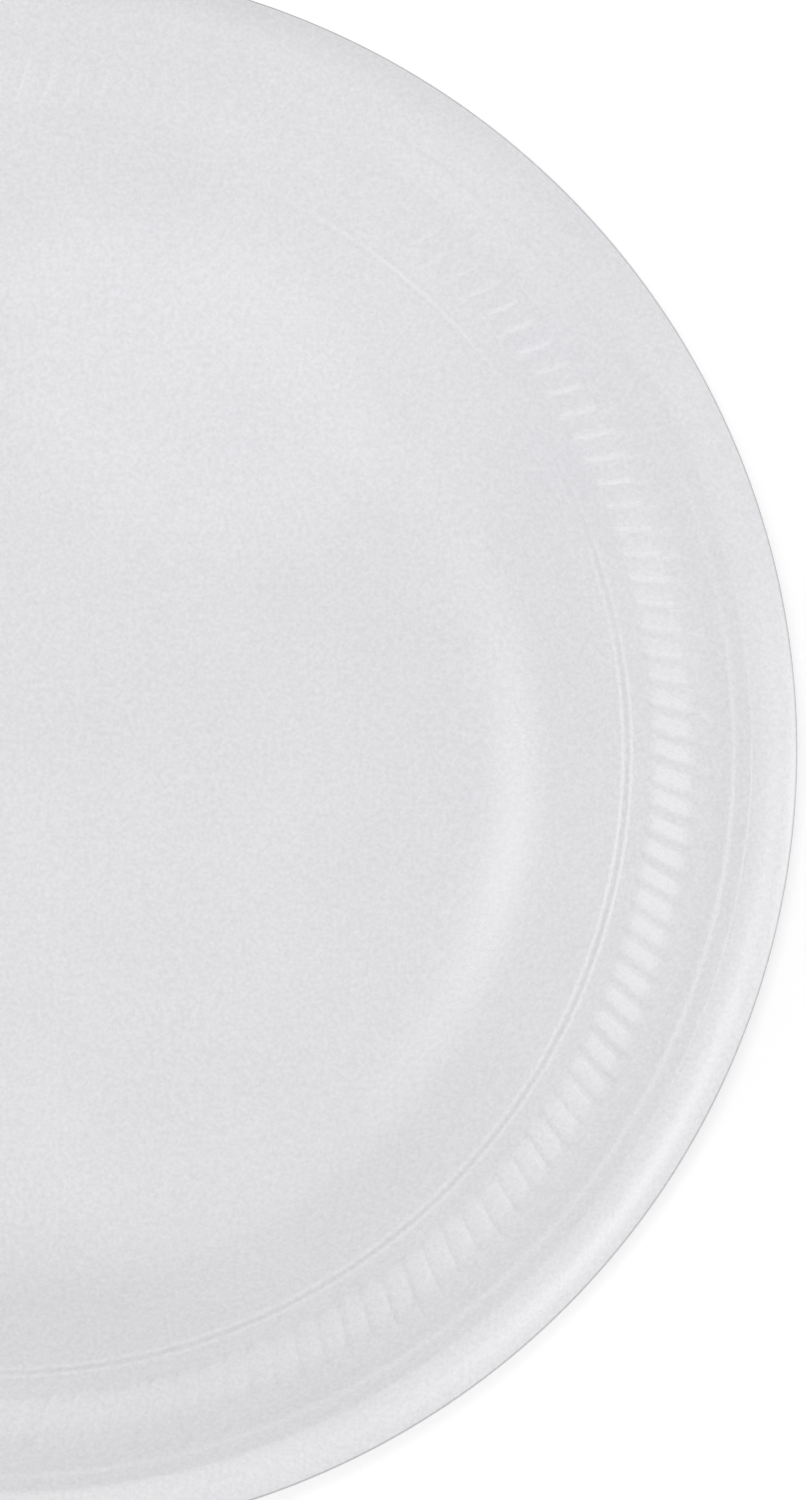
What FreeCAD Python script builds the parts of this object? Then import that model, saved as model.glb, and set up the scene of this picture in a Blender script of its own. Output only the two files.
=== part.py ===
# Round foam plate: one moulded sheet of polystyrene foam. Millimetres, +Z up.
# The origin is the centre of the underside. The sheet has a flat floor and one flared wall, which
# carries a double bead and a ledge of slanted ribs, and a lip that rolls down outside.
import math
import os

import FreeCAD
import Part
import Sketcher

Vector = FreeCAD.Vector
Constraint = Sketcher.Constraint

# The driving dimensions, in millimetres, degrees or pieces. An inset is measured level, inward
# from the crest, which is the circle where the wall turns over into the lip.
SIZES = {
    # outline of the sheet
    "plate_radius": 112.5,
    "foam_gauge": 2.0,
    "bend_radius": 31.5,
    "wall_angle": 26.5,
    "wall_run": 28.05,
    "lip_reach": 6.4,
    "lip_curve": 9.0,
    "edge_land": 0.6,
    # gentler ledge in the wall, which carries the ribs
    "ledge_inset": 14.3,
    "ledge_run": 6.2,
    "ledge_angle": 16.6,
    # double bead on the wall
    "bead_inset": 19.03,
    "bead_width": 1.22,
    "bead_height": 0.16,
    "bead_valley": 0.02,
    "bead_root": 0.04,
    # grooves that part the ribs, deepest at the onset and running out pointed
    "rib_count": 160,
    "rib_slant": 20.0,
    "groove_depth": 0.34,
    "groove_width": 2.6,
    "groove_run": 5.2,
    "groove_onset": 1.4,
    "groove_flank_curve": 40.0,
}

START, END, CENTRE = range(1, 4)
ORIGIN = (-1, START)
UPRIGHT_AXIS = -2
# a groove's cutting section stands this many times as tall as the groove is deep
GROOVE_CLEARANCE = 4

# places on the sheet, as expressions that the sketches are bound to
WALL = "Sizes.wall_angle * 1 deg"
LEDGE = "Sizes.ledge_angle * 1 deg"
CREST_RADIUS = "(Sizes.plate_radius - Sizes.lip_reach)"
LEDGE_END = "(Sizes.ledge_inset - Sizes.ledge_run)"


def atInset(inset):
    return f"({CREST_RADIUS} - {inset})"


def wallHeight(inset):
    # how high the wall's upper face stands at an inset below the ledge
    bend = f"Sizes.bend_radius * (1 - cos({WALL}))"
    return f"(Sizes.foam_gauge + {bend} + (Sizes.wall_run - {inset}) * tan({WALL}))"


def makeSheet(doc):
    sheet = doc.addObject("Spreadsheet::Sheet", "Sizes")
    for row, (name, value) in enumerate(SIZES.items(), start=1):
        sheet.set(f"A{row}", name)
        sheet.set(f"B{row}", str(value))
        sheet.setAlias(f"B{row}", name)
    doc.recompute()


def originFeature(body, role):
    return next(feature for feature in body.Origin.OriginFeatures if feature.Role == role)


def makeSketch(body, name, planeRole):
    sketch = body.newObject("Sketcher::SketchObject", name)
    sketch.AttachmentSupport = [(originFeature(body, planeRole), "")]
    sketch.MapMode = "FlatFace"
    return sketch


def bind(sketch, name, expression, kind, *geometry):
    # a driving dimension of a sketch, read from the sheet; its last number is the drawn value
    index = sketch.addConstraint(Constraint(kind, *geometry))
    sketch.renameConstraint(index, name)
    sketch.setExpression(f"Constraints.{name}", expression)


def join(sketch, *pairs):
    for pair in pairs:
        sketch.addConstraint(Constraint("Coincident", *pair))


def line(start, end):
    return Part.LineSegment(start, end)


def arc(centre, radius, startDegrees, endDegrees):
    circle = Part.Circle(centre, Vector(0, 0, 1), radius)
    return Part.ArcOfCircle(circle, math.radians(startDegrees), math.radians(endDegrees))


def polar(centre, radius, degrees):
    turn = math.radians(degrees)
    return centre + Vector(radius * math.cos(turn), radius * math.sin(turn), 0)


def bearing(centre, point):
    return math.degrees(math.atan2(point.y - centre.y, point.x - centre.x))


def drawOutline(sketch, corners):
    # a closed outline of straight sides; returns the sides, each starting at its corner
    ends = corners[1:] + corners[:1]
    sides = [sketch.addGeometry(line(start, end)) for start, end in zip(corners, ends)]
    for first, second in zip(sides, sides[1:] + sides[:1]):
        join(sketch, (first, END, second, START))
    return sides


def drawSection(sketch, size):
    # The sheet's section: floor, bend, wall with its ledge, and lip above, and the same chain one
    # gauge below. It is drawn where the sizes put it, so the solver starts from the true section.
    gauge = size["foam_gauge"]
    bendRadius = size["bend_radius"]
    wallAngle = size["wall_angle"]
    lipCurve = size["lip_curve"]
    slope = math.radians(wallAngle)
    ledgeSlope = math.radians(size["ledge_angle"])
    crestRadius = size["plate_radius"] - size["lip_reach"]
    floorRadius = crestRadius - size["wall_run"] - bendRadius * math.sin(slope)

    bendCentre = Vector(floorRadius, gauge + bendRadius, 0)
    wallFoot = polar(bendCentre, bendRadius, wallAngle - 90)
    lowerRun = size["wall_run"] - size["ledge_inset"]
    upperRun = size["ledge_inset"] - size["ledge_run"]
    ledgeStart = wallFoot + Vector(lowerRun, lowerRun * math.tan(slope), 0)
    ledgeEnd = ledgeStart + Vector(size["ledge_run"], size["ledge_run"] * math.tan(ledgeSlope), 0)
    crest = ledgeEnd + Vector(upperRun, upperRun * math.tan(slope), 0)
    lipCentre = crest - Vector(0, lipCurve, 0)
    lipEndDegrees = math.degrees(math.acos(size["lip_reach"] / lipCurve))
    lipEnd = polar(lipCentre, lipCurve, lipEndDegrees)
    landEnd = lipEnd - Vector(0, size["edge_land"], 0)
    underCurve = lipCurve - gauge
    cutEnd = polar(lipCentre, underCurve, bearing(lipCentre, landEnd))
    # below, the wall's face runs on to meet the lip's face in a corner under the crest, and the
    # ledge's corners move along the line that halves each bend
    wallBelowDistance = lipCurve * math.cos(slope) - gauge
    cornerDegrees = 90 + wallAngle - math.degrees(math.acos(wallBelowDistance / underCurve))
    corner = polar(lipCentre, underCurve, cornerDegrees)
    halfway = (slope + ledgeSlope) / 2
    drop = gauge / math.cos((slope - ledgeSlope) / 2)
    below = Vector(drop * math.sin(halfway), -drop * math.cos(halfway), 0)
    bendBelowEnd = polar(bendCentre, bendRadius + gauge, wallAngle - 90)
    axisTop = Vector(0, gauge, 0)

    floor = sketch.addGeometry(line(axisTop, Vector(floorRadius, gauge, 0)))
    bend = sketch.addGeometry(arc(bendCentre, bendRadius, -90, wallAngle - 90))
    wall = sketch.addGeometry(line(wallFoot, ledgeStart))
    ledge = sketch.addGeometry(line(ledgeStart, ledgeEnd))
    upperWall = sketch.addGeometry(line(ledgeEnd, crest))
    lip = sketch.addGeometry(arc(lipCentre, lipCurve, lipEndDegrees, 90))
    land = sketch.addGeometry(line(lipEnd, landEnd))
    cut = sketch.addGeometry(line(landEnd, cutEnd))
    lipBelow = sketch.addGeometry(
        arc(lipCentre, underCurve, bearing(lipCentre, landEnd), cornerDegrees))
    upperBelow = sketch.addGeometry(line(corner, ledgeEnd + below))
    ledgeBelow = sketch.addGeometry(line(ledgeEnd + below, ledgeStart + below))
    wallBelow = sketch.addGeometry(line(ledgeStart + below, bendBelowEnd))
    bendBelow = sketch.addGeometry(arc(bendCentre, bendRadius + gauge, -90, wallAngle - 90))
    base = sketch.addGeometry(line(Vector(floorRadius, 0, 0), Vector(0, 0, 0)))
    axis = sketch.addGeometry(line(Vector(0, 0, 0), axisTop))

    smoothJoints = [
        (floor, END, bend, START), (bend, END, wall, START),
        (wallBelow, END, bendBelow, END), (bendBelow, START, base, START),
    ]
    for pair in smoothJoints:
        sketch.addConstraint(Constraint("Tangent", *pair))
    join(sketch, (wall, END, ledge, START), (ledge, END, upperWall, START),
         (upperWall, END, lip, END), (lip, START, land, START), (land, END, cut, START),
         (cut, END, lipBelow, START), (lipBelow, END, upperBelow, START),
         (upperBelow, END, ledgeBelow, START), (ledgeBelow, END, wallBelow, START),
         (base, END, axis, START), (axis, END, floor, START), (bend, CENTRE, bendBelow, CENTRE),
         (lip, CENTRE, lipBelow, CENTRE), (base, END, *ORIGIN))
    for level in (floor, base):
        sketch.addConstraint(Constraint("Horizontal", level))
    for upright in (axis, land):
        sketch.addConstraint(Constraint("Vertical", upright))
    for under, face in ((wallBelow, wall), (upperBelow, wall), (upperWall, wall), (ledgeBelow, ledge)):
        sketch.addConstraint(Constraint("Parallel", under, face))
    # the lip starts level at the crest, and the sheet's edge is cut square to the lip
    sketch.addConstraint(Constraint("Vertical", lip, CENTRE, lip, END))
    sketch.addConstraint(Constraint("PointOnObject", lip, CENTRE, cut))

    bind(sketch, "gauge", "Sizes.foam_gauge", "DistanceY", axis, START, axis, END, gauge)
    bind(sketch, "ledgeGauge", "Sizes.foam_gauge", "Distance", ledge, END, ledgeBelow, gauge)
    bind(sketch, "upperGauge", "Sizes.foam_gauge", "Distance", ledge, END, upperBelow, gauge)
    bind(sketch, "footX", atInset("Sizes.wall_run"), "DistanceX", *ORIGIN, wall, START, wallFoot.x)
    bind(sketch, "ledgeX", atInset("Sizes.ledge_inset"),
         "DistanceX", *ORIGIN, ledge, START, ledgeStart.x)
    bind(sketch, "ledgeEndX", atInset(LEDGE_END), "DistanceX", *ORIGIN, ledge, END, ledgeEnd.x)
    bind(sketch, "bend", "Sizes.bend_radius", "Radius", bend, bendRadius)
    bind(sketch, "slope", WALL, "Angle", wall, slope)
    bind(sketch, "ledgeSlope", LEDGE, "Angle", ledge, ledgeSlope)
    bind(sketch, "crestX", CREST_RADIUS, "DistanceX", *ORIGIN, lip, CENTRE, crestRadius)
    bind(sketch, "lipCurve", "Sizes.lip_curve", "Radius", lip, lipCurve)
    bind(sketch, "edgeX", "Sizes.plate_radius", "DistanceX", *ORIGIN, land, START,
         size["plate_radius"])
    bind(sketch, "land", "Sizes.edge_land", "DistanceY", land, END, land, START, size["edge_land"])
    bind(sketch, "lipBelow", "Sizes.lip_curve - Sizes.foam_gauge", "Radius", lipBelow, underCurve)


def drawDoubleBead(sketch, size):
    # two beads side by side with a valley between them, on a chord rooted just inside the wall
    root = size["bead_root"]
    width = size["bead_width"]
    height = size["bead_height"]
    valley = size["bead_valley"]
    chord, outerSlope, valleyOut, valleyIn, innerSlope = drawOutline(
        sketch, [Vector(0, -root, 0), Vector(2 * width, -root, 0), Vector(1.5 * width, height, 0),
                 Vector(width, valley, 0), Vector(width / 2, height, 0)])
    sketch.addConstraint(Constraint("Horizontal", chord))
    sketch.addConstraint(Constraint("PointOnObject", chord, START, UPRIGHT_AXIS))
    for first, second in ((outerSlope, innerSlope), (valleyOut, valleyIn)):
        sketch.addConstraint(Constraint("Equal", first, second))
    bind(sketch, "root", "Sizes.bead_root", "DistanceY", chord, START, *ORIGIN, root)
    bind(sketch, "span", "2 * Sizes.bead_width", "DistanceX", chord, START, chord, END, 2 * width)
    bind(sketch, "width", "Sizes.bead_width",
         "DistanceX", innerSlope, START, valleyOut, START, width)
    bind(sketch, "valley", "Sizes.bead_valley", "DistanceY", *ORIGIN, valleyIn, START, valley)
    for name, slope in (("outerHeight", valleyOut), ("innerHeight", innerSlope)):
        bind(sketch, name, "Sizes.bead_height", "DistanceY", *ORIGIN, slope, START, height)


def drawGroove(sketch, size):
    # the cutting section: two faintly bulging flanks from a valley at the sketch's origin, and a lid
    rise = math.hypot(size["groove_depth"], size["groove_onset"]) * GROOVE_CLEARANCE
    half = size["groove_width"] / 2 * GROOVE_CLEARANCE
    curve = size["groove_flank_curve"]
    # each flank's circle passes through the valley and the flank's top, with its centre outside
    chord = Vector(half, rise, 0)
    outward = Vector(rise, -half, 0).normalize()
    rightCentre = chord * 0.5 + outward * math.sqrt(curve ** 2 - chord.Length ** 2 / 4)
    leftCentre = Vector(-rightCentre.x, rightCentre.y, 0)
    top = bearing(rightCentre, chord)
    valley = bearing(rightCentre, Vector())

    right = sketch.addGeometry(arc(rightCentre, curve, top, valley))
    lid = sketch.addGeometry(line(chord, Vector(-half, rise, 0)))
    left = sketch.addGeometry(arc(leftCentre, curve, 180 - valley, 180 - top))
    join(sketch, (right, START, lid, START), (lid, END, left, END), (left, START, right, END),
         (right, END, *ORIGIN))
    sketch.addConstraint(Constraint("Horizontal", lid))
    sketch.addConstraint(Constraint("Equal", right, left))
    for name, start, end in (("halfRight", ORIGIN, (lid, START)), ("halfLeft", (lid, END), ORIGIN)):
        bind(sketch, name, f"Sizes.groove_width / 2 * {GROOVE_CLEARANCE}",
             "DistanceX", *start, *end, half)
    bind(sketch, "rise", f"hypot(Sizes.groove_depth; Sizes.groove_onset) * {GROOVE_CLEARANCE}",
         "DistanceY", *ORIGIN, lid, START, rise)
    bind(sketch, "flank", "Sizes.groove_flank_curve", "Radius", right, curve)


def addRevolution(body, name, sketch):
    ring = body.newObject("PartDesign::Revolution", name)
    ring.Profile = sketch
    ring.ReferenceAxis = (originFeature(body, "Z_Axis"), [""])
    ring.Angle = 360


def cutGroove(body, size):
    # One groove over the middle of the ledge, half a rib beside the X axis, which has a rib centred
    # on it. Its section leans inward from the valley's deepest point, which makes the sloping inner
    # end, and the valley climbs from there till it runs out.
    middle = atInset("(Sizes.ledge_inset - Sizes.ledge_run / 2)")
    height = f"{wallHeight('Sizes.ledge_inset')} + Sizes.ledge_run / 2 * tan({LEDGE})"
    halfRib = "rotationy(360 deg / Sizes.rib_count / 2)"
    # the ledge's own frame: X up along the ribs, Y square to the ledge
    alongRib = f"rotationz({LEDGE}) * rotationy(-Sizes.rib_slant * 1 deg)"
    frame = (f"placement(vector(0; 0; 0); {halfRib})"
             f" * placement(vector({middle}; {height}; 0); {alongRib})")
    deepest = "vector(Sizes.groove_onset - Sizes.groove_run / 2; -Sizes.groove_depth; 0)"
    lean = "rotationy(90 deg) * rotationx(-atan(Sizes.groove_onset / Sizes.groove_depth))"
    sketch = makeSketch(body, "GrooveSection", "XZ_Plane")
    sketch.setExpression("AttachmentOffset", f"{frame} * placement({deepest}; {lean})")
    drawGroove(sketch, size)
    groove = body.newObject("PartDesign::Pocket", "Groove")
    groove.Profile = sketch
    groove.UseCustomVector = True
    groove.AlongSketchNormal = False
    groove.setExpression(
        "Direction",
        f"rotationx(90 deg) * {halfRib} * {alongRib}"
        " * vector(Sizes.groove_run - Sizes.groove_onset; Sizes.groove_depth; 0)")
    groove.setExpression("Length", "Sizes.groove_run - Sizes.groove_onset / 2")
    return groove


def makePlate(doc, size):
    body = doc.addObject("PartDesign::Body", "plate")
    body.Label = "plate"

    section = makeSketch(body, "Section", "XZ_Plane")
    drawSection(section, size)
    addRevolution(body, "Shell", section)

    # the beads' sketch has its X up along the wall and its Y square to it
    beads = makeSketch(body, "BeadSection", "XZ_Plane")
    beads.AttachmentOffset = FreeCAD.Placement(Vector(), FreeCAD.Rotation(Vector(0, 0, 1), 1))
    beads.setExpression("AttachmentOffset.Base.x", atInset("Sizes.bead_inset"))
    beads.setExpression("AttachmentOffset.Base.y", wallHeight("Sizes.bead_inset"))
    beads.setExpression("AttachmentOffset.Rotation.Angle", WALL)
    drawDoubleBead(beads, size)
    addRevolution(body, "Beads", beads)
    doc.recompute()
    plainFaces = len(body.Shape.Faces)

    groove = cutGroove(body, size)
    ribs = body.newObject("PartDesign::PolarPattern", "Ribs")
    ribs.Originals = [groove]
    ribs.Axis = (originFeature(body, "Z_Axis"), [""])
    ribs.Angle = 360
    ribs.setExpression("Occurrences", "Sizes.rib_count")
    body.Tip = ribs
    doc.recompute()
    # every groove leaves at least its two flanks as new faces
    if len(body.Shape.Faces) < plainFaces + 2 * size["rib_count"]:
        raise RuntimeError("the grooves do not all cut the ledge")
    return body


def checkDocument(doc):
    for item in doc.Objects:
        if "Invalid" in item.State or "Error" in item.State:
            raise RuntimeError(f"{item.Name} is {item.State}")
        if item.TypeId == "Sketcher::SketchObject" and item.DoF:
            raise RuntimeError(f"{item.Name} has {item.DoF} free dimensions")


def main():
    doc = FreeCAD.newDocument("foam_plate")
    makeSheet(doc)
    plate = makePlate(doc, SIZES)
    checkDocument(doc)
    shape = plate.Shape
    if shape.isNull() or not shape.isValid() or len(shape.Solids) != 1:
        raise RuntimeError("the plate is not one valid solid")
    os.makedirs("parts", exist_ok=True)
    shape.exportStep("parts/plate.step")
    print(f"plate: {shape.Volume / 1000:.2f} cm3, {shape.BoundBox.ZMax:.2f} mm high, "
          f"{len(shape.Faces)} faces")


main()
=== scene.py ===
# A round foam plate on a white table. Metres, Z up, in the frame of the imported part.
import math
import random

import bmesh
import bpy
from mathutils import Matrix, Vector, noise


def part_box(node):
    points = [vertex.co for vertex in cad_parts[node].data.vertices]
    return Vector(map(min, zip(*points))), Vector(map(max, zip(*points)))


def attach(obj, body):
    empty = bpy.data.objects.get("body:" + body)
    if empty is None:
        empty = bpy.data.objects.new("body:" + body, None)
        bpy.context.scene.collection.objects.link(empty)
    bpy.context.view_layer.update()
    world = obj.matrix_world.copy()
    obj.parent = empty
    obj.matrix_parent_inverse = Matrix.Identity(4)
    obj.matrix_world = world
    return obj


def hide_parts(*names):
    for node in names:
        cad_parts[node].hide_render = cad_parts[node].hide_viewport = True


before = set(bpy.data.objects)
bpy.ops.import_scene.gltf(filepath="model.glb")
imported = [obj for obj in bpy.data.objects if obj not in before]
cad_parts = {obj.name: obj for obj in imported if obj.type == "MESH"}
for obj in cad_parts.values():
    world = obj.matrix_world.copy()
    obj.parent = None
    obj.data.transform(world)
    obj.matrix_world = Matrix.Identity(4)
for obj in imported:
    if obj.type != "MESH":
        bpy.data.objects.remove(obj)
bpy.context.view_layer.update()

plateLow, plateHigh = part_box("plate")
mm = 0.001
print("frame loaded, plate is", round((plateHigh.x - plateLow.x) / mm, 1), "mm across")

# lengths of the plate are in millimetres and angles in degrees

plateShape = {
    "gauge": 2.0,               # thickness of the foam
    "floorRadius": 64.0,        # where the flat floor starts to bend up
    "bendRadius": 31.5,
    "wallAngle": 26.5,          # above level
    "crestRadius": 106.1,       # where the wall turns over into the lip
    "lipCurve": 9.0,
    "lipStart": 89.2,           # the lip leaves the crest nearly level
    "underLip": (36, 112),      # where the lip's inner arc starts and ends
    "edgeHeight": 0.8,          # the upright cut edge
    "edgeRound": 0.3,           # its upper corner
    "edgeBreak": 0.2,           # its lower corner
    "sides": 320,               # divisions round the plate
}

# places where the wall turns gentler (minus) or steeper (plus) than it is elsewhere
wallTurns = {
    "innerBead": {"radius": 87.75, "width": 0.85, "degrees": -10.5},
    "betweenBeads": {"radius": 88.42, "width": 0.80, "degrees": 9.5},
    "outerBead": {"radius": 89.0, "width": 0.85, "degrees": -9.5},
    "belowRidge": {"radius": 102.05, "width": 3.0, "degrees": 2.0},
    "ridge": {"radius": 103.5, "width": 1.3, "degrees": -7.0},
}

ribShape = {
    "count": 160,
    "innerSlant": 40.0,         # off the plate's radius, where a rib starts
    "outerSlant": 12.5,         # and where it has straightened
    "curveLength": 6.5,         # level length over which it straightens
    "anchorRadius": 94.6,       # where the ribs stand at even shares of the circle, counted from +X
    "innerRadius": 91.2,        # where the ledge that carries the ribs starts
    "outerRadius": 100.8,
    "ledgeAngle": 16.0,         # the ledge is gentler than the wall
    "ledgeRise": 2.3,           # level length over which the wall eases into the ledge
    "ledgeEnd": 96.7,
    "ledgeBreak": 0.9,          # level length over which the ledge first steepens
    "breakShare": 0.6,          # how much of the way back to the wall's angle that brings it
    "ledgeEase": 2.9,           # level length over which it steepens the rest of the way
    "height": 0.15,
    "outerHeight": 0.21,        # where the ledge ends
    "growth": (95.5, 97.7),     # where a rib starts and stops growing from one height to the other
    "width": 0.50,              # share of the way from one rib to the next
    "hollow": 1.4,              # 1 gives a rib flat sides, and more makes them hollow
    "onsetGap": 0.1,            # level length from the ledge's start to the rib's
    "onset": 1.2,               # level length over which a rib rises from the ledge
    "fadeRadius": 98.0,         # where it starts to run out
    "variation": 0.25,          # how much the ribs differ
    "seed": 11,
}

slope = math.radians(plateShape["wallAngle"])
bendCentre = (plateShape["floorRadius"], plateShape["gauge"] + plateShape["bendRadius"])
wallFoot = (bendCentre[0] + plateShape["bendRadius"] * math.sin(slope),
            bendCentre[1] - plateShape["bendRadius"] * math.cos(slope))
plateRadius = plateHigh.x / mm


def smoothStep(value):
    value = min(max(value, 0.0), 1.0)
    return value * value * (3 - 2 * value)


def slopeAt(radius):
    # the wall's slope in degrees: steady but for the ledge of the ribs and the small turns
    ledge = smoothStep((radius - ribShape["innerRadius"]) / ribShape["ledgeRise"])
    past = radius - ribShape["ledgeEnd"]
    ledge -= ribShape["breakShare"] * smoothStep(past / ribShape["ledgeBreak"])
    ledge -= (1 - ribShape["breakShare"]) * smoothStep(past / ribShape["ledgeEase"])
    angle = plateShape["wallAngle"] + (ribShape["ledgeAngle"] - plateShape["wallAngle"]) * ledge
    for turn in wallTurns.values():
        away = abs(radius - turn["radius"]) / (turn["width"] / 2)
        if away < 1:
            angle += turn["degrees"] * (0.5 + 0.5 * math.cos(math.pi * away))
    return angle


def climbWall(step):
    # heights of the wall's face, found by climbing it in small steps
    heights = [wallFoot[1]]
    radius = wallFoot[0]
    while radius < plateShape["crestRadius"]:
        heights.append(heights[-1] + step * math.tan(math.radians(slopeAt(radius + step / 2))))
        radius += step
    return heights


wallStep = 0.02
wallHeights = climbWall(wallStep)


def wallHeight(radius):
    place = max((radius - wallFoot[0]) / wallStep, 0)
    below = min(int(place), len(wallHeights) - 2)
    return wallHeights[below] + (wallHeights[below + 1] - wallHeights[below]) * (place - below)


crest = (plateShape["crestRadius"], wallHeight(plateShape["crestRadius"]))
lipCentre = (crest[0], crest[1] - plateShape["lipCurve"])
print("crest is", round(crest[1], 2), "mm high")


def spread(start, end, steps):
    return [start + (end - start) * step / steps for step in range(steps + 1)]


def arcPoints(centre, radius, start, end, steps):
    # points along an arc of the section, angles in degrees from level
    turns = [math.radians(degrees) for degrees in spread(start, end, steps)]
    return [(centre[0] + radius * math.cos(turn), centre[1] + radius * math.sin(turn)) for turn in turns]


def sideways(radius):
    # how far a rib has run to the side since the ledge's start
    start, end = ribShape["innerRadius"], ribShape["outerRadius"]
    along = min(max(radius, start), end) - start
    left = 1 - min(along / ribShape["curveLength"], 1)
    outer = math.tan(math.radians(ribShape["outerSlant"]))
    extra = math.tan(math.radians(ribShape["innerSlant"])) - outer
    return outer * along + extra * ribShape["curveLength"] / 3 * (1 - left ** 3)


def twist(radius):
    # the ribs turn clockwise as they run outward, less and less; what lies beyond keeps their turn
    anchor = ribShape["anchorRadius"]
    return (sideways(anchor) - sideways(radius)) / anchor


dice = random.Random(ribShape["seed"])
ribRises = [1 + dice.uniform(-1, 1) * ribShape["variation"] for _ in range(ribShape["count"])]

# slow waves in the moulded sheet, and one shallow dent beside the middle of the floor
skinShape = {
    "waveHeight": 0.05,
    "waveLength": 34.0,
    "rippleLength": 13.0,
    "rippleShare": 0.45,        # height of the ripples, as a share of the waves'
    "noiseHeight": 3.1,         # which level cut through the noise gives the waves
    "rippleShift": (7, 2, 5),   # keeps the ripples from following the waves
    "calmRim": 8.0,             # level length below the crest over which the waves die out
    "dentPlace": (11.5, 28.5),
    "dentRadius": 3.4,
    "dentDepth": 0.24,
    "dentFall": 1.413,          # how quickly the dent's side falls: more makes it narrower
}


def unevenness(x, y, radius):
    # how far the skin lies above its true shape
    place = Vector((x, y, skinShape["noiseHeight"]))
    waves = noise.noise(place / skinShape["waveLength"])
    ripples = noise.noise(place / skinShape["rippleLength"] + Vector(skinShape["rippleShift"]))
    calm = smoothStep((crest[0] - radius) / skinShape["calmRim"])
    lift = (waves + skinShape["rippleShare"] * ripples) * skinShape["waveHeight"] * calm
    dentX, dentY = skinShape["dentPlace"]
    away = math.hypot(x - dentX, y - dentY) / skinShape["dentRadius"]
    return lift - skinShape["dentDepth"] * math.exp(-away * away * skinShape["dentFall"])


def addPoint(mesh, radius, angle, height, uneven, rise=0):
    x, y = radius * math.cos(angle), radius * math.sin(angle)
    lift = unevenness(x, y, radius) if uneven else 0
    return mesh.verts.new((x * mm, y * mm, (height + lift + rise) * mm))


def addRing(mesh, radius, height, count, turn, uneven=True):
    angles = [2 * math.pi * index / count + turn for index in range(count)]
    return [addPoint(mesh, radius, angle, height, uneven) for angle in angles]


def ribHeight(radius, across):
    # how high a rib stands, by radius and by how far off its crest the place is, in shares of the spacing
    start = smoothStep((radius - ribShape["innerRadius"] - ribShape["onsetGap"]) / ribShape["onset"])
    fade = smoothStep((radius - ribShape["fadeRadius"]) / (ribShape["outerRadius"] - ribShape["fadeRadius"]))
    growStart, growEnd = ribShape["growth"]
    growth = smoothStep((radius - growStart) / (growEnd - growStart))
    height = ribShape["height"] + (ribShape["outerHeight"] - ribShape["height"]) * growth
    off = min(abs(across) / (ribShape["width"] / 2), 1)
    return height * start * (1 - fade) * (1 - off) ** ribShape["hollow"]


# rings of points that the faces join, by radius
ringPlaces = {
    "floorMargin": 1.6,         # from the middle to the first ring, and from the last ring to the bend
    "floorSteps": 54,
    "fewerSides": ((8, 8), (16, 4), (28, 2)),   # within a radius, how many times fewer divisions
    "bendSteps": 10,
    "belowBeads": (81.0, 84.0, 86.5),
    "beadMargin": 0.5,
    "beadSteps": 20,
    "aboveBeads": (90.3, 91.0),
    "ribStops": (93.6, 94.1, 97.6, 98.2),       # where runs of rings across the ribs end and start again
    "ribSteps": (8, 7, 5),                      # and the steps of each run
    # shares of the way from the middle of one flat to the middle of the next, the rib's crest half way
    "acrossRib": (0.0, 0.20, 0.28, 0.35, 0.41, 0.46, 0.5, 0.54, 0.59, 0.65, 0.72, 0.80),
    "aboveRibs": (101.6, 102.4),
    "ridgeMargin": 0.7,
    "ridgeSteps": 9,
    "belowCrest": (105.0, 105.7, 105.95),
    "lipSteps": 14,
    "edgeSteps": 4,
    "underLipSteps": 9,
    "underWall": (101.0, 97.5, 95.0, 92.2, 87.0, 82.0),
    "underFloor": ((48.0, 2), (24.0, 4), (8.0, 8)),     # radius, and how many times fewer divisions
}


def addRibRing(mesh, radius):
    # one ring across all the ribs and the flats between them
    ring = []
    for rib in range(ribShape["count"]):
        for share in ringPlaces["acrossRib"]:
            angle = 2 * math.pi * (rib + share) / ribShape["count"] + twist(radius)
            rise = ribHeight(radius, share - 0.5) * ribRises[rib]
            ring.append(addPoint(mesh, radius, angle, wallHeight(radius), True, rise))
    return ring


def joinRings(mesh, inner, outer):
    # faces between two rings whose counts are equal or a whole multiple of each other
    few, many = (inner, outer) if len(inner) <= len(outer) else (outer, inner)
    ratio = len(many) // len(few)
    for index in range(len(few)):
        here, after = few[index], few[(index + 1) % len(few)]
        if ratio == 1:
            mesh.faces.new([here, many[index], many[(index + 1) % len(many)], after])
            continue
        for part in range(ratio):
            first = many[index * ratio + part]
            second = many[(index * ratio + part + 1) % len(many)]
            mesh.faces.new([here if part < ratio / 2 else after, first, second])
        middle = many[index * ratio + math.ceil(ratio / 2)]
        mesh.faces.new([after, here, middle])


def floorSides(radius):
    # the flat floor has fewer divisions near the middle
    for limit, fewer in ringPlaces["fewerSides"]:
        if radius < limit:
            return plateShape["sides"] // fewer
    return plateShape["sides"]


def floorRings(mesh):
    # the flat floor and the bend, from the middle outward
    margin = ringPlaces["floorMargin"]
    turn = twist(0)
    radii = spread(margin, plateShape["floorRadius"] - margin, ringPlaces["floorSteps"])
    rings = [addRing(mesh, radius, plateShape["gauge"], floorSides(radius), turn) for radius in radii]
    wallTurn = plateShape["wallAngle"] - 90
    bend = arcPoints(bendCentre, plateShape["bendRadius"], -90, wallTurn, ringPlaces["bendSteps"])
    return rings + [addRing(mesh, radius, height, plateShape["sides"], turn) for radius, height in bend]


def wallRings(mesh, radii, turn):
    return [addRing(mesh, radius, wallHeight(radius), plateShape["sides"], turn) for radius in radii]


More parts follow.
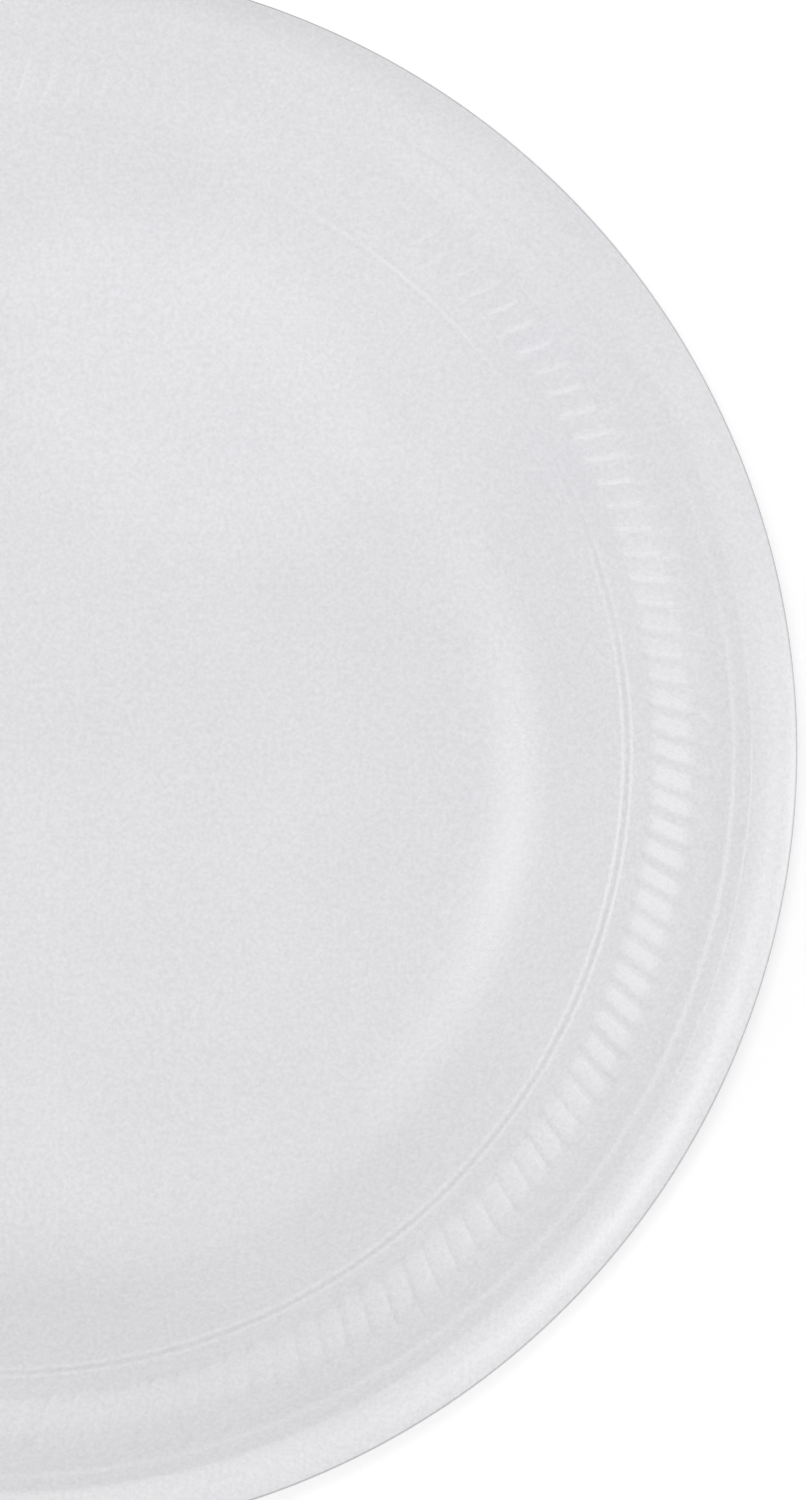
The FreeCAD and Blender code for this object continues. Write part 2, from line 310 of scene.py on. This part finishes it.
def topRings(mesh):
    # the upper face from the middle out to the crest
    places = ringPlaces
    firstBead = wallTurns["innerBead"]["radius"] - places["beadMargin"]
    lastBead = wallTurns["outerBead"]["radius"] + places["beadMargin"]
    beads = spread(firstBead, lastBead, places["beadSteps"])
    ridge, margin = wallTurns["ridge"]["radius"], places["ridgeMargin"]
    ridgeRun = spread(ridge - margin, ridge + margin, places["ridgeSteps"])
    rings = floorRings(mesh)
    rings += wallRings(mesh, [*places["belowBeads"], *beads, *places["aboveBeads"]], twist(0))
    stops = [ribShape["innerRadius"], *places["ribStops"], ribShape["outerRadius"]]
    ribRuns = zip(stops[::2], stops[1::2], places["ribSteps"])
    ribLines = [addRibRing(mesh, radius) for run in ribRuns for radius in spread(*run)]
    rings += ribLines
    aboveRibs = [*places["aboveRibs"], *ridgeRun, *places["belowCrest"]]
    rings += wallRings(mesh, aboveRibs, twist(plateRadius))
    return rings, ribLines


def lipRings(mesh):
    # over the nearly sharp crest, down the lip and round its cut edge
    sides, turn = plateShape["sides"], twist(plateRadius)
    edgeRound, edgeBreak = plateShape["edgeRound"], plateShape["edgeBreak"]
    curve = plateShape["lipCurve"]
    inner = curve - edgeRound
    lipEnd = math.degrees(math.acos((plateRadius - edgeRound - lipCentre[0]) / inner))
    lip = arcPoints(lipCentre, curve, plateShape["lipStart"], lipEnd, ringPlaces["lipSteps"])
    edgeTop = arcPoints(lipCentre, inner, lipEnd, lipEnd, 1)[0]
    edge = arcPoints(edgeTop, edgeRound, lipEnd, 0, ringPlaces["edgeSteps"])[1:]
    bottom = edgeTop[1] - plateShape["edgeHeight"] + edgeBreak
    # the lower corner is a small round of two steps
    edge.append((plateRadius, bottom))
    edge.append((plateRadius - 0.3 * edgeBreak, bottom - 0.7 * edgeBreak))
    edge.append((plateRadius - edgeBreak, bottom - edgeBreak))
    return [addRing(mesh, radius, height, sides, turn, False) for radius, height in lip + edge]


def underRings(mesh):
    # the underside follows one gauge below, from the edge back to the middle
    sides, turn = plateShape["sides"], twist(plateRadius)
    gauge = plateShape["gauge"]
    lip = arcPoints(lipCentre, plateShape["lipCurve"] - gauge, *plateShape["underLip"],
                    ringPlaces["underLipSteps"])
    wall = [(radius + gauge * math.sin(slope), wallHeight(radius) - gauge * math.cos(slope))
            for radius in ringPlaces["underWall"]]
    wallTurn = plateShape["wallAngle"] - 90
    bend = arcPoints(bendCentre, plateShape["bendRadius"] + gauge, wallTurn, -90, ringPlaces["bendSteps"])
    rings = [addRing(mesh, radius, height, sides, turn, False) for radius, height in lip + wall + bend]
    for radius, fewer in ringPlaces["underFloor"]:
        rings.append(addRing(mesh, radius, 0, sides // fewer, turn, False))
    return rings


def capRing(mesh, ring, height):
    middle = mesh.verts.new((0, 0, height * mm))
    for index in range(len(ring)):
        mesh.faces.new([middle, ring[index], ring[(index + 1) % len(ring)]])


def markRibs(mesh, ribLines):
    # the crest of each rib is sharp
    steps = len(ringPlaces["acrossRib"])
    line = ringPlaces["acrossRib"].index(0.5)
    for inner, outer in zip(ribLines, ribLines[1:]):
        for rib in range(ribShape["count"]):
            index = rib * steps + line
            mesh.edges.get((inner[index], outer[index])).smooth = False


def addObject(mesh, name):
    data = bpy.data.meshes.new(name)
    mesh.to_mesh(data)
    mesh.free()
    piece = bpy.data.objects.new(name, data)
    bpy.context.scene.collection.objects.link(piece)
    return piece


def buildPlate():
    mesh = bmesh.new()
    top, ribLines = topRings(mesh)
    rings = top + lipRings(mesh) + underRings(mesh)
    for inner, outer in zip(rings, rings[1:]):
        joinRings(mesh, inner, outer)
    capRing(mesh, rings[0], plateShape["gauge"] + unevenness(0, 0, 0))
    capRing(mesh, rings[-1], 0)
    for face in mesh.faces:
        face.smooth = True
    markRibs(mesh, ribLines)
    bmesh.ops.recalc_face_normals(mesh, faces=mesh.faces)
    return addObject(mesh, "foamPlate")


plate = buildPlate()
print("plate built:", len(plate.data.polygons), "faces")

foamLook = {
    "colour": (0.80, 0.798, 0.816),
    "shadedColour": (0.775, 0.771, 0.80),
    "patchSize": 28.0,          # slow patches of the one colour in the other
    "smoothest": 0.30,          # roughness where the skin is shiniest
    "roughest": 0.40,
    "cellSize": 0.42,
    "cellDepth": 0.014,
    "cellTone": 0.975,          # how dark the net between the cells is
    "cellBand": (0.2, 0.8),
    "grainSize": 0.62,
    "grainDepth": 0.042,
    "grainTone": 0.055,         # how far the grain lightens and darkens the colour
    "noiseDetail": 3.0,
    "noiseBand": (0.3, 0.7),    # the part of the noise that patches and grain use
    "highlightPlace": (26.0, 53.0),  # a painted highlight: a soft paler patch of the floor that stands in for a lamp's reflection
    "highlightReach": (38.0, 27.0),
    "highlightTurn": -35.0,
    "highlightFade": 0.45,           # share of its reach over which it fades
    "highlightGain": 0.045,
    "speckSpacing": 15.0,       # a few tiny dark specks
    "speckRadius": 0.22,
    "speckTone": 0.82,
    "edgeShadeRadii": (112.20, 112.40),
    "edgeShadeTone": 0.66,            # painted shade: the cut edge is darkened into a thin dark line that stands in for the shadow under it
}


def link(tree, source, target):
    tree.links.new(source, target)


def addNoise(tree, place, size, roughness):
    node = tree.nodes.new("ShaderNodeTexNoise")
    node.inputs["Scale"].default_value = 1 / (size * mm)
    node.inputs["Detail"].default_value = foamLook["noiseDetail"]
    node.inputs["Roughness"].default_value = roughness
    link(tree, place, node.inputs["Vector"])
    return node.outputs["Fac"]


def addCells(tree, place, size):
    # how far a point lies from the middle of its cell, in shares of the cell's size
    node = tree.nodes.new("ShaderNodeTexVoronoi")
    node.inputs["Scale"].default_value = 1 / (size * mm)
    link(tree, place, node.inputs["Vector"])
    return node.outputs["Distance"]


def addRange(tree, source, band, start, end, easing="LINEAR"):
    # turns the values within a band into values from start to end
    node = tree.nodes.new("ShaderNodeMapRange")
    node.interpolation_type = easing
    limits = {"From Min": band[0], "From Max": band[1], "To Min": start, "To Max": end}
    for name, value in limits.items():
        node.inputs[name].default_value = value
    link(tree, source, node.inputs["Value"])
    return node.outputs["Result"]


def multiply(tree, first, second):
    node = tree.nodes.new("ShaderNodeMath")
    node.operation = "MULTIPLY"
    link(tree, first, node.inputs[0])
    link(tree, second, node.inputs[1])
    return node.outputs["Value"]


def fromAxis(tree, place):
    # how far a point lies from the plate's axis
    level = tree.nodes.new("ShaderNodeVectorMath")
    level.operation = "MULTIPLY"
    level.inputs[1].default_value = (1, 1, 0)
    link(tree, place, level.inputs[0])
    away = tree.nodes.new("ShaderNodeVectorMath")
    away.operation = "LENGTH"
    link(tree, level.outputs["Vector"], away.inputs[0])
    return away.outputs["Value"]


def addBump(tree, height, depth):
    node = tree.nodes.new("ShaderNodeBump")
    node.inputs["Distance"].default_value = depth * mm
    node.inputs["Strength"].default_value = 1.0
    link(tree, height, node.inputs["Height"])
    return node


def paintedHighlight(tree, place):
    # 1 everywhere but in the painted highlight, the paler patch of the floor
    look = foamLook
    around = tree.nodes.new("ShaderNodeMapping")
    around.vector_type = "TEXTURE"
    around.inputs["Location"].default_value = (look["highlightPlace"][0] * mm, look["highlightPlace"][1] * mm, 0)
    around.inputs["Rotation"].default_value = (0, 0, math.radians(look["highlightTurn"]))
    around.inputs["Scale"].default_value = (look["highlightReach"][0] * mm, look["highlightReach"][1] * mm, 1)
    link(tree, place, around.inputs["Vector"])
    bowl = tree.nodes.new("ShaderNodeTexGradient")
    bowl.gradient_type = "SPHERICAL"
    link(tree, around.outputs["Vector"], bowl.inputs["Vector"])
    return addRange(tree, bowl.outputs["Fac"], (0, look["highlightFade"]), 1, 1 + look["highlightGain"], "SMOOTHSTEP")


def foamColour(tree, place, patches, grain, cells):
    look = foamLook
    ramp = tree.nodes.new("ShaderNodeValToRGB")
    ends = zip(ramp.color_ramp.elements, look["noiseBand"], (look["shadedColour"], look["colour"]))
    for end, position, colour in ends:
        end.position = position
        end.color = (*colour, 1)
    link(tree, patches, ramp.inputs["Fac"])
    speck = look["speckRadius"] / look["speckSpacing"]
    specks = addCells(tree, place, look["speckSpacing"])
    # painted shade: the ring at the cut edge that is darkened
    cut = [radius * mm for radius in look["edgeShadeRadii"]]
    tone = addRange(tree, cells, look["cellBand"], 1, look["cellTone"])
    for factor in (addRange(tree, specks, (speck / 2, speck), look["speckTone"], 1),
                   # the painted highlight on the floor
                   paintedHighlight(tree, place),
                   addRange(tree, grain, look["noiseBand"], 1 - look["grainTone"], 1 + look["grainTone"]),
                   # the painted shade along the cut edge
                   addRange(tree, fromAxis(tree, place), cut, 1, look["edgeShadeTone"])):
        tone = multiply(tree, tone, factor)
    colour = tree.nodes.new("ShaderNodeVectorMath")
    colour.operation = "SCALE"
    link(tree, ramp.outputs["Color"], colour.inputs[0])
    link(tree, tone, colour.inputs["Scale"])
    return colour.outputs["Vector"]


def makeFoam():
    look = foamLook
    material = bpy.data.materials.new("whiteFoam")
    material.use_nodes = True
    tree = material.node_tree
    shader = tree.nodes["Principled BSDF"]
    place = tree.nodes.new("ShaderNodeTexCoord").outputs["Object"]
    patches = addNoise(tree, place, look["patchSize"], 0.5)
    grain = addNoise(tree, place, look["grainSize"], 0.6)
    cells = addCells(tree, place, look["cellSize"])
    link(tree, foamColour(tree, place, patches, grain, cells), shader.inputs["Base Color"])
    sheen = addRange(tree, grain, look["noiseBand"], look["smoothest"], look["roughest"])
    link(tree, sheen, shader.inputs["Roughness"])
    # the soft grain of the skin and the cells under it
    grainBump = addBump(tree, grain, look["grainDepth"])
    cellBump = addBump(tree, cells, look["cellDepth"])
    link(tree, grainBump.outputs["Normal"], cellBump.inputs["Normal"])
    link(tree, cellBump.outputs["Normal"], shader.inputs["Normal"])
    return material


plate.data.materials.append(makeFoam())
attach(plate, "root")
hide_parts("plate")
print("foam finished")

# the table, the lamps and the camera are in metres

tableLook = {
    "radius": 4.0,
    "sides": 64,
    "drop": 0.0001,             # the plate stands this far above the table
    "colour": (0.80, 0.80, 0.80),       # for the light that the table throws back
    "seenColour": (0.60, 0.60, 0.60),   # for the camera alone
    "glow": 0.60,               # keeps the table white for the camera alone
    "edgeGlow": 0.50,           # beside the plate, where its shadow is let through
    "shadowRadii": (0.1125, 0.1142),
}


def addMatt(tree, colour):
    node = tree.nodes.new("ShaderNodeBsdfDiffuse")
    node.inputs["Color"].default_value = (*colour, 1)
    return node.outputs["BSDF"]


def showCamera(tree, seen, others, target):
    # the camera sees one shader, and all other rays meet the other
    rays = tree.nodes.new("ShaderNodeLightPath")
    mix = tree.nodes.new("ShaderNodeMixShader")
    link(tree, rays.outputs["Is Camera Ray"], mix.inputs["Fac"])
    link(tree, others, mix.inputs[1])
    link(tree, seen, mix.inputs[2])
    link(tree, mix.outputs["Shader"], target)


def makeTable():
    look = tableLook
    mesh = bmesh.new()
    bmesh.ops.create_circle(mesh, cap_ends=True, radius=look["radius"], segments=look["sides"])
    table = addObject(mesh, "table")
    table.location.z = -look["drop"]
    material = bpy.data.materials.new("tableWhite")
    material.use_nodes = True
    tree = material.node_tree
    tree.nodes.remove(tree.nodes["Principled BSDF"])
    # the plate's shadow is let through in a narrow ring beside it
    place = tree.nodes.new("ShaderNodeTexCoord").outputs["Object"]
    glow = tree.nodes.new("ShaderNodeEmission")
    strength = addRange(tree, fromAxis(tree, place), look["shadowRadii"], look["edgeGlow"], look["glow"])
    link(tree, strength, glow.inputs["Strength"])
    both = tree.nodes.new("ShaderNodeAddShader")
    link(tree, addMatt(tree, look["seenColour"]), both.inputs[0])
    link(tree, glow.outputs["Emission"], both.inputs[1])
    surface = tree.nodes["Material Output"].inputs["Surface"]
    showCamera(tree, both.outputs["Shader"], addMatt(tree, look["colour"]), surface)
    table.data.materials.append(material)


# compass is in degrees from +X towards -Y, height is degrees above the table
lamps = {
    "key": {"compass": 30, "height": 45, "strength": 0.24, "softness": 20},
    "right": {"compass": 0, "height": 45, "strength": 0.09, "softness": 20},
    "rightLow": {"compass": 0, "height": 7, "strength": 0.21, "softness": 20},
    "near": {"compass": 135, "height": 25, "strength": 0.17, "softness": 20},
    "leftTop": {"compass": 198, "height": 57, "strength": 0.165, "softness": 10},
    "left": {"compass": 210, "height": 45, "strength": 0.05, "softness": 20},
    "far": {"compass": 240, "height": 45, "strength": 0.06, "softness": 20},
}


def makeLamps():
    for name, lamp in lamps.items():
        sun = bpy.data.lights.new(name, "SUN")
        sun.energy = math.pi * lamp["strength"]
        sun.angle = math.radians(lamp["softness"])
        holder = bpy.data.objects.new(name, sun)
        compass, height = math.radians(lamp["compass"]), math.radians(lamp["height"])
        toLamp = Vector((math.cos(compass) * math.cos(height),
                         -math.sin(compass) * math.cos(height), math.sin(height)))
        holder.rotation_euler = (-toLamp).to_track_quat("-Z", "Y").to_euler()
        bpy.context.scene.collection.objects.link(holder)


worldLook = {
    "light": 0.43,              # what the plate gets from all round
    "backdrop": 1.0,            # what the camera sees past the table
}


def addBackdrop(tree, node, strength):
    node.inputs["Color"].default_value = (1, 1, 1, 1)
    node.inputs["Strength"].default_value = strength
    return node.outputs["Background"]


def makeWorld():
    world = bpy.data.worlds.new("studio")
    world.use_nodes = True
    tree = world.node_tree
    light = addBackdrop(tree, tree.nodes["Background"], worldLook["light"])
    white = addBackdrop(tree, tree.nodes.new("ShaderNodeBackground"), worldLook["backdrop"])
    showCamera(tree, white, light, tree.nodes["World Output"].inputs["Surface"])
    bpy.context.scene.world = world


makeTable()
makeLamps()
makeWorld()
print("table and lamps ready")

cameraView = {
    "distance": 5.0,
    "tilt": 5.0,                # degrees off the plate's axis, towards -Y
    "aim": (0.05649, -0.0002, 0.0160),
    "seenHeight": 0.2130,       # what the view takes in from bottom to top, where it is aimed
    "sensorWidth": 36,          # millimetres
    "nearest": 0.1,
    "farthest": 40,
}


def makeCamera():
    view = cameraView
    data = bpy.data.cameras.new("camera")
    data.sensor_width = view["sensorWidth"]
    data.lens = data.sensor_width * view["distance"] / view["seenHeight"]
    data.clip_start = view["nearest"]
    data.clip_end = view["farthest"]
    camera = bpy.data.objects.new("camera", data)
    tilt = math.radians(view["tilt"])
    back = Vector((0, -math.sin(tilt), math.cos(tilt)))
    camera.location = Vector(view["aim"]) + back * view["distance"]
    camera.rotation_euler = (-back).to_track_quat("-Z", "Y").to_euler()
    bpy.context.scene.collection.objects.link(camera)
    bpy.context.scene.camera = camera


makeCamera()
bpy.context.scene.view_settings.view_transform = "Standard"
